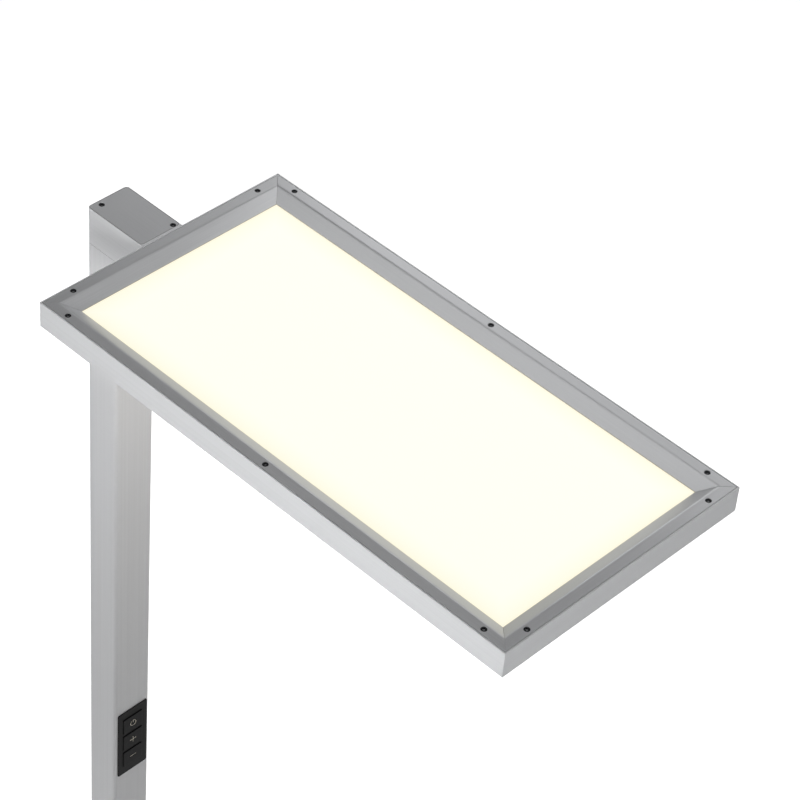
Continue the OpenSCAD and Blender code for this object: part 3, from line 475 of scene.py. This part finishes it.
def screwTree(material):
    tree = bpy.data.node_groups.new("countersunkScrews", "GeometryNodeTree")
    addSocket(tree, "Spots", "NodeSocketGeometry")
    ids = {name: addSocket(tree, name) for name in
           ("Head Radius", "Shank Radius", "Length", "Rim", "Socket Radius", "Socket Depth")}
    addSocket(tree, "Screws", "NodeSocketGeometry", "OUTPUT")
    group = addNode(tree, "NodeGroupInput").outputs
    coneHeight = calculate(tree, "SUBTRACT", calculate(
        tree, "SUBTRACT", group["Head Radius"], group["Shank Radius"]), group["Rim"])
    coneDown = calculate(tree, "MULTIPLY", calculate(tree, "ADD", coneHeight, group["Rim"]), -1.0)
    shankLength = calculate(tree, "ADD", group["Length"], coneDown)

    def lifted(shape, height):
        place = addNode(tree, "ShaderNodeCombineXYZ", {2: height})
        return addNode(tree, "GeometryNodeTransform", {0: shape, "Translation": place.outputs[0]}).outputs[0]

    sides = screwSizes["sides"]
    rim = addNode(tree, "GeometryNodeMeshCylinder", {
        "Vertices": sides, "Radius": group["Head Radius"], "Depth": group["Rim"]}).outputs[0]
    rimPlace = calculate(tree, "MULTIPLY", group["Rim"], -0.5)
    cone = addNode(tree, "GeometryNodeMeshCone", {
        "Vertices": sides, "Radius Top": group["Head Radius"], "Radius Bottom": group["Shank Radius"],
        "Depth": coneHeight}).outputs[0]
    shank = addNode(tree, "GeometryNodeMeshCylinder", {
        "Vertices": sides, "Radius": group["Shank Radius"], "Depth": shankLength}).outputs[0]
    shankPlace = calculate(tree, "SUBTRACT", coneDown, calculate(tree, "MULTIPLY", shankLength, 0.5))
    socket = addNode(tree, "GeometryNodeMeshCylinder", {
        "Vertices": 6, "Radius": group["Socket Radius"],
        "Depth": calculate(tree, "MULTIPLY", group["Socket Depth"], 2.0)}).outputs[0]
    body = addNode(tree, "GeometryNodeMeshBoolean", operation="UNION", solver="EXACT")
    for part in (lifted(rim, rimPlace), lifted(cone, coneDown), lifted(shank, shankPlace)):
        tree.links.new(part, body.inputs["Mesh 2"])
    cut = addNode(tree, "GeometryNodeMeshBoolean", {"Mesh 1": body.outputs[0]}, operation="DIFFERENCE",
                  solver="EXACT")
    tree.links.new(socket, cut.inputs["Mesh 2"])
    # The faces at the socket's bottom are marked for the painted glint
    at = addNode(tree, "ShaderNodeSeparateXYZ", {0: addNode(tree, "GeometryNodeInputPosition").outputs[0]})
    down = calculate(tree, "ADD", at.outputs[2], group["Socket Depth"])
    away = calculate(tree, "ABSOLUTE", down, 0.0)
    bottom = calculate(tree, "LESS_THAN", away, screwSizes["glintReach"] * mm)
    marked = addNode(tree, "GeometryNodeStoreNamedAttribute", {
        "Geometry": cut.outputs[0], "Name": "bareMetal", "Value": bottom}, data_type="FLOAT", domain="FACE")
    placeCopies(tree, group["Spots"], marked.outputs[0], material)
    return tree, ids


def spotMesh(name, spots):
    # spots: (place in metres, turn as three angles)
    mesh = bpy.data.meshes.new(name)
    mesh.from_pydata([place for place, turn in spots], [], [])
    turns = mesh.attributes.new("turn", "FLOAT_VECTOR", "POINT")
    for row, (place, turn) in zip(turns.data, spots):
        row.vector = turn
    return mesh


def growScrews(name, spots, head, length, tree, ids):
    piece = newPiece(name, spotMesh(name, spots))
    modifier = piece.modifiers.new("screws", "NODES")
    modifier.node_group = tree
    sizes = {"Head Radius": head / 2, "Shank Radius": screwSizes["shank"] * mm / 2, "Length": length,
             "Rim": screwSizes["rim"] * mm, "Socket Radius": screwSizes["socket"] * mm / 2,
             "Socket Depth": screwSizes["socketDepth"] * mm}
    for socket, size in sizes.items():
        modifier[ids[socket]] = size
    applyModifiers(piece)
    finishMesh(piece)
    return piece


def looseBoxes(name):
    # The box of each separate solid in a CAD node, so that a copy lands where the CAD has it
    shape = bmesh.new()
    shape.from_mesh(nodes[name].data)
    bmesh.ops.remove_doubles(shape, verts=shape.verts, dist=easing["merge"] * mm)
    left, boxes = set(shape.verts), []
    while left:
        points, queue = [], [left.pop()]
        while queue:
            vert = queue.pop()
            points.append(vert.co.copy())
            for edge in vert.link_edges:
                other = edge.other_vert(vert)
                if other in left:
                    left.discard(other)
                    queue.append(other)
        boxes.append([[pick(p[i] for p in points) for i in range(3)] for pick in (min, max)])
    shape.free()
    return sorted(boxes)


screws, screwIds = screwTree(finishes["screw"])
screwCount = 0
for node, face in (("top_screws", 1), ("bottom_screws", -1), ("cover_screws", 1)):
    boxes = looseBoxes(node)
    spots = []
    for i, (low, high) in enumerate(boxes):
        place = ((low[0] + high[0]) / 2, (low[1] + high[1]) / 2, high[2] if face > 0 else low[2])
        spots.append((place, (0.0 if face > 0 else math.pi, 0.0, screwSizes["nextTurn"] * i)))
    low, high = boxes[0]
    piece = growScrews(node + "_detailed", spots, high[0] - low[0], high[2] - low[2], screws, screwIds)
    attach(piece, "stand")
    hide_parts(node)
    screwCount += len(spots)
print("countersunk screws:", screwCount)


# Thin black strips in the arm's two seams, between the eased edges: painted shade, standing in for the shadow in
# the seams, so that both seams of the arm show as dark lines; millimetres
coverSeamShade = {"radius": 3.4, "gap": 0.3, "overCover": 0.4, "overBody": 0.22, "below": 0.02, "thick": 0.5}
jointSeamShade = {"radius": 4.5, "inset": 0.08, "reach": 1.2, "thick": 0.9}
cornerSteps = 10


def roundedOutline(box, grow, radius):
    (x0, y0), (x1, y1) = [corner[:2] for corner in box]
    radius, grow = (radius + grow) * mm, grow * mm
    points = []
    for turn, (x, y) in enumerate(((x1, y1), (x0, y1), (x0, y0), (x1, y0))):
        cx = x + (grow - radius) * (1 if x == x1 else -1)
        cy = y + (grow - radius) * (1 if y == y1 else -1)
        for i in range(cornerSteps + 1):
            angle = math.pi / 2 * (turn + i / cornerSteps)
            points.append((cx + radius * math.cos(angle), cy + radius * math.sin(angle)))
    return points


# A black ring strip laid in a seam as painted shade
def seamShadeStrip(name, box, radius, inner, outer, low, high):
    shape = bmesh.new()
    rings = [[shape.verts.new((x, y, z)) for x, y in roundedOutline(box, grow, radius)]
             for grow, z in ((inner, low), (outer, low), (outer, high), (inner, high))]
    count = len(rings[0])
    for k in range(4):
        for i in range(count):
            j = (i + 1) % count
            shape.faces.new((rings[k][i], rings[k][j], rings[(k + 1) % 4][j], rings[(k + 1) % 4][i]))
    bmesh.ops.recalc_face_normals(shape, faces=shape.faces)
    piece = pieceOf(shape, name, finishes["blackRubber"])
    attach(piece, "stand")


# Painted seam shade around the arm's cover, and where the arm sits on the column
coverBox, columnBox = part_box("arm_cover"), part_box("column")
top = coverBox[1][2] - coverSeamShade["below"] * mm
seamShadeStrip("cover_gasket", coverBox, coverSeamShade["radius"], -coverSeamShade["overCover"],
       coverSeamShade["gap"] + coverSeamShade["overBody"], top - coverSeamShade["thick"] * mm, top)
joint, halfThick = columnBox[1][2], jointSeamShade["thick"] / 2 * mm
seamShadeStrip("joint_gasket", columnBox, jointSeamShade["radius"], -jointSeamShade["reach"], -jointSeamShade["inset"],
       joint - halfThick, joint + halfThick)
# the two strips of painted seam shade
print("seamShadeStrips of the arm: cover and joint")


# Grip ribs on the cord gland's moulded cap, from just past its hexagon to just before its dome
ribSizes = {"count": 20, "capRadius": 9.6, "proud": 0.45, "sunk": 0.4, "wide": 1.2,
            "capOut": 17, "from": 6.9, "to": 12}  # millimetres; these three are measured from the column's back


def ribTree(material):
    tree = bpy.data.node_groups.new("gripRibs", "GeometryNodeTree")
    addSocket(tree, "Spots", "NodeSocketGeometry")
    size = addSocket(tree, "Size", "NodeSocketVector")
    addSocket(tree, "Ribs", "NodeSocketGeometry", "OUTPUT")
    group = addNode(tree, "NodeGroupInput").outputs
    rib = addNode(tree, "GeometryNodeMeshCube", {"Size": group["Size"]}).outputs[0]
    placeCopies(tree, group["Spots"], rib, material)
    return tree, size


glandLow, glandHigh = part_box("cord_gland")
columnFace = glandLow[0] + ribSizes["capOut"] * mm
glandZ = (glandLow[2] + glandHigh[2]) / 2
ribX = columnFace - (ribSizes["from"] + ribSizes["to"]) / 2 * mm
ribRadius = (ribSizes["capRadius"] + (ribSizes["proud"] - ribSizes["sunk"]) / 2) * mm
ribSpots = []
for i in range(ribSizes["count"]):
    angle = 2 * math.pi * i / ribSizes["count"]
    place = (ribX, ribRadius * math.cos(angle), glandZ + ribRadius * math.sin(angle))
    ribSpots.append((place, (angle, 0.0, 0.0)))
ribs, ribSize = ribTree(finishes["blackNylon"])
glandRibs = newPiece("gland_ribs", spotMesh("gland_ribs", ribSpots))
modifier = glandRibs.modifiers.new("ribs", "NODES")
modifier.node_group = ribs
modifier[ribSize] = ((ribSizes["to"] - ribSizes["from"]) * mm, (ribSizes["proud"] + ribSizes["sunk"]) * mm,
                     ribSizes["wide"] * mm)
applyModifiers(glandRibs)
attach(glandRibs, "stand")
print("gland ribs:", ribSizes["count"])


# Marks on the keys: on/off, plus and minus, set into the key and just proud of it; millimetres
keyMark = {"radius": 4.2, "stroke": 0.8, "arm": 4.6, "stemFrom": 0.6, "stemPast": 1.0, "proud": 0.05, "sunk": 0.3,
           "gap": 62, "arcSteps": 36}  # the ring's gap in degrees


def ringOutline(radius, stroke, gap):
    start, end = math.radians(90 + gap / 2), math.radians(450 - gap / 2)
    steps = keyMark["arcSteps"]
    angles = [start + (end - start) * i / steps for i in range(steps + 1)]
    outer = [((radius + stroke / 2) * math.cos(a), (radius + stroke / 2) * math.sin(a)) for a in angles]
    inner = [((radius - stroke / 2) * math.cos(a), (radius - stroke / 2) * math.sin(a)) for a in angles]
    return outer + inner[::-1]


def barOutline(left, right, low, high):
    return [(left, low), (right, low), (right, high), (left, high)]


def crossOutline(arm, half):
    corner = [(arm, -half), (arm, half), (half, half)]
    return [(u * c - v * s, u * s + v * c) for c, s in ((1, 0), (0, 1), (-1, 0), (0, -1)) for u, v in corner]


def inlay(name, outlines, face, middle, material):
    shape = bmesh.new()
    for outline in outlines:
        rings = [[shape.verts.new((face + depth * mm, middle[1] + u * mm, middle[2] + v * mm)) for u, v in outline]
                 for depth in (-keyMark["sunk"], keyMark["proud"])]
        shape.faces.new(rings[0][::-1])
        shape.faces.new(rings[1])
        for i in range(len(outline)):
            k = (i + 1) % len(outline)
            shape.faces.new((rings[0][i], rings[0][k], rings[1][k], rings[1][i]))
    bmesh.ops.recalc_face_normals(shape, faces=shape.faces)
    return pieceOf(shape, name, material)


half = keyMark["stroke"] / 2
markOutlines = {
    "on_off": [ringOutline(keyMark["radius"], keyMark["stroke"], keyMark["gap"]),
               barOutline(-half, half, keyMark["stemFrom"], keyMark["radius"] + keyMark["stemPast"])],
    "brighter": [crossOutline(keyMark["arm"], half)],
    "dimmer": [barOutline(-keyMark["arm"], keyMark["arm"], -half, half)],
}
for name, outlines in markOutlines.items():
    low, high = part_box("key_" + name)
    middle = [(a + b) / 2 for a, b in zip(low, high)]
    mark = inlay("mark_" + name, outlines, high[0], middle, finishes["ivoryPolyamide"])
    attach(mark, name + "_key")
print("key marks:", len(markOutlines))


# The floor is lifted to white for the camera and for reflections only, so that it still takes the shadow
studio = {"floorSize": 160, "floorColour": "#F2F2F2", "floorLift": 0.92, "world": 0.05}


def makeFloor(size):
    mesh = bpy.data.meshes.new("studioFloor")
    mesh.from_pydata([(-size / 2, -size / 2, 0), (size / 2, -size / 2, 0), (size / 2, size / 2, 0),
                      (-size / 2, size / 2, 0)], [], [(0, 1, 2, 3)])
    material = bpy.data.materials.new("paleStudioFloor")
    material.use_nodes = True
    tree = material.node_tree
    tree.nodes.clear()
    paint = addNode(tree, "ShaderNodeBsdfDiffuse", {"Color": linearColour(studio["floorColour"])})
    rays = addNode(tree, "ShaderNodeLightPath")
    seen = calculate(tree, "MAXIMUM", rays.outputs["Is Camera Ray"], rays.outputs["Is Glossy Ray"])
    seen = calculate(tree, "MAXIMUM", seen, rays.outputs["Is Transmission Ray"])
    lift = calculate(tree, "MULTIPLY", seen, studio["floorLift"])
    glow = addNode(tree, "ShaderNodeEmission", {"Strength": lift})
    both = addNode(tree, "ShaderNodeAddShader", {0: paint.outputs[0], 1: glow.outputs[0]})
    addNode(tree, "ShaderNodeOutputMaterial", {"Surface": both.outputs[0]})
    mesh.materials.append(material)
    floor = newPiece("studioFloor", mesh)


def addLamp(name, place, target, size, power, colour="#FFFFFF", spreadAngle=180):
    data = bpy.data.lights.new(name, "AREA")
    data.shape = "RECTANGLE"
    data.size, data.size_y = size
    data.energy = power
    data.color = linearColour(colour)[:3]
    data.spread = math.radians(spreadAngle)
    lamp = bpy.data.objects.new(name, data)
    lamp.location = place
    lamp.visible_camera = False
    lamp.rotation_euler = (Vector(target) - Vector(place)).to_track_quat("-Z", "Y").to_euler()
    scene.collection.objects.link(lamp)


makeFloor(studio["floorSize"])
world = bpy.data.worlds.new("studioWorld")
scene.world = world
world.use_nodes = True
world.node_tree.nodes["Background"].inputs["Strength"].default_value = studio["world"]
world.node_tree.nodes["Background"].inputs["Color"].default_value = (1, 1, 1, 1)
# Name, place, what it looks at, size, power, and for some the colour and the beam's angle in degrees
lampSetup = [
    ("frontSoftbox", (-0.9, -2.2, 0.9), (0.2, 0, 1.6), (1.6, 1.2), 12.2),
    ("frontRightSoftbox", (1.5, -1.9, 2.2), (0.3, 0, 1.98), (0.9, 0.9), 1.9, "#FFFFFF", 36),
    ("wallSoftbox", (0.95, -1.1, 1.65), (0.62, -0.16, 1.93), (0.5, 0.4), 0.2, "#FFFFFF", 50),
    ("endStrip", (1.2, 0.03, 1.84), (0.69, 0.02, 1.935), (0.7, 0.25), 0.3),
    ("ceilingSoftbox", (0.3, -0.2, 3.95), (0.3, 0, 1.9), (2.4, 2.4), 15),
    ("nearCeilingStrip", (-0.2, -0.75, 2.9), (0.3, 0, 1.95), (1.6, 0.7), 3.4),
    ("farCeilingStrip", (-0.1, 0.98, 2.5), (0.377, 0.1, 1.95), (1.8, 0.45), 1.72),
    ("farStrip", (0.3, 0.62, 2.35), (0.35, 0, 1.95), (1.2, 0.3), 0.72),
    ("sideSoftbox", (0.9, 1.0, 2.8), (0.3, 0, 1.95), (1.0, 0.7), 4.1),
    ("lowFarStrip", (0.095, 0.52, 2.05), (0.69, 0.16, 1.93), (0.3, 0.15), 0.08),
    ("panelGlow", (0.377, 0, 1.915), (0.377, 0, 0), (0.58, 0.28), 0.8, "#FFF4EC"),  # what the lit panel sends down
    ("baseSoftbox", (1.3, -1.5, 1.9), (0.1, 0, 0), (0.9, 0.9), 2.4, "#FFFFFF", 34),
    ("backSoftbox", (-2.4, 0.9, 1.2), (0, 0, 1.3), (1.6, 1.6), 14),
    ("farSideSoftbox", (-0.4, 2.5, 1.2), (0.1, 0, 1.4), (1.6, 1.4), 14),
]
for setup in lampSetup:
    addLamp(*setup)
print("studio:", len(lampSetup), "lamps")
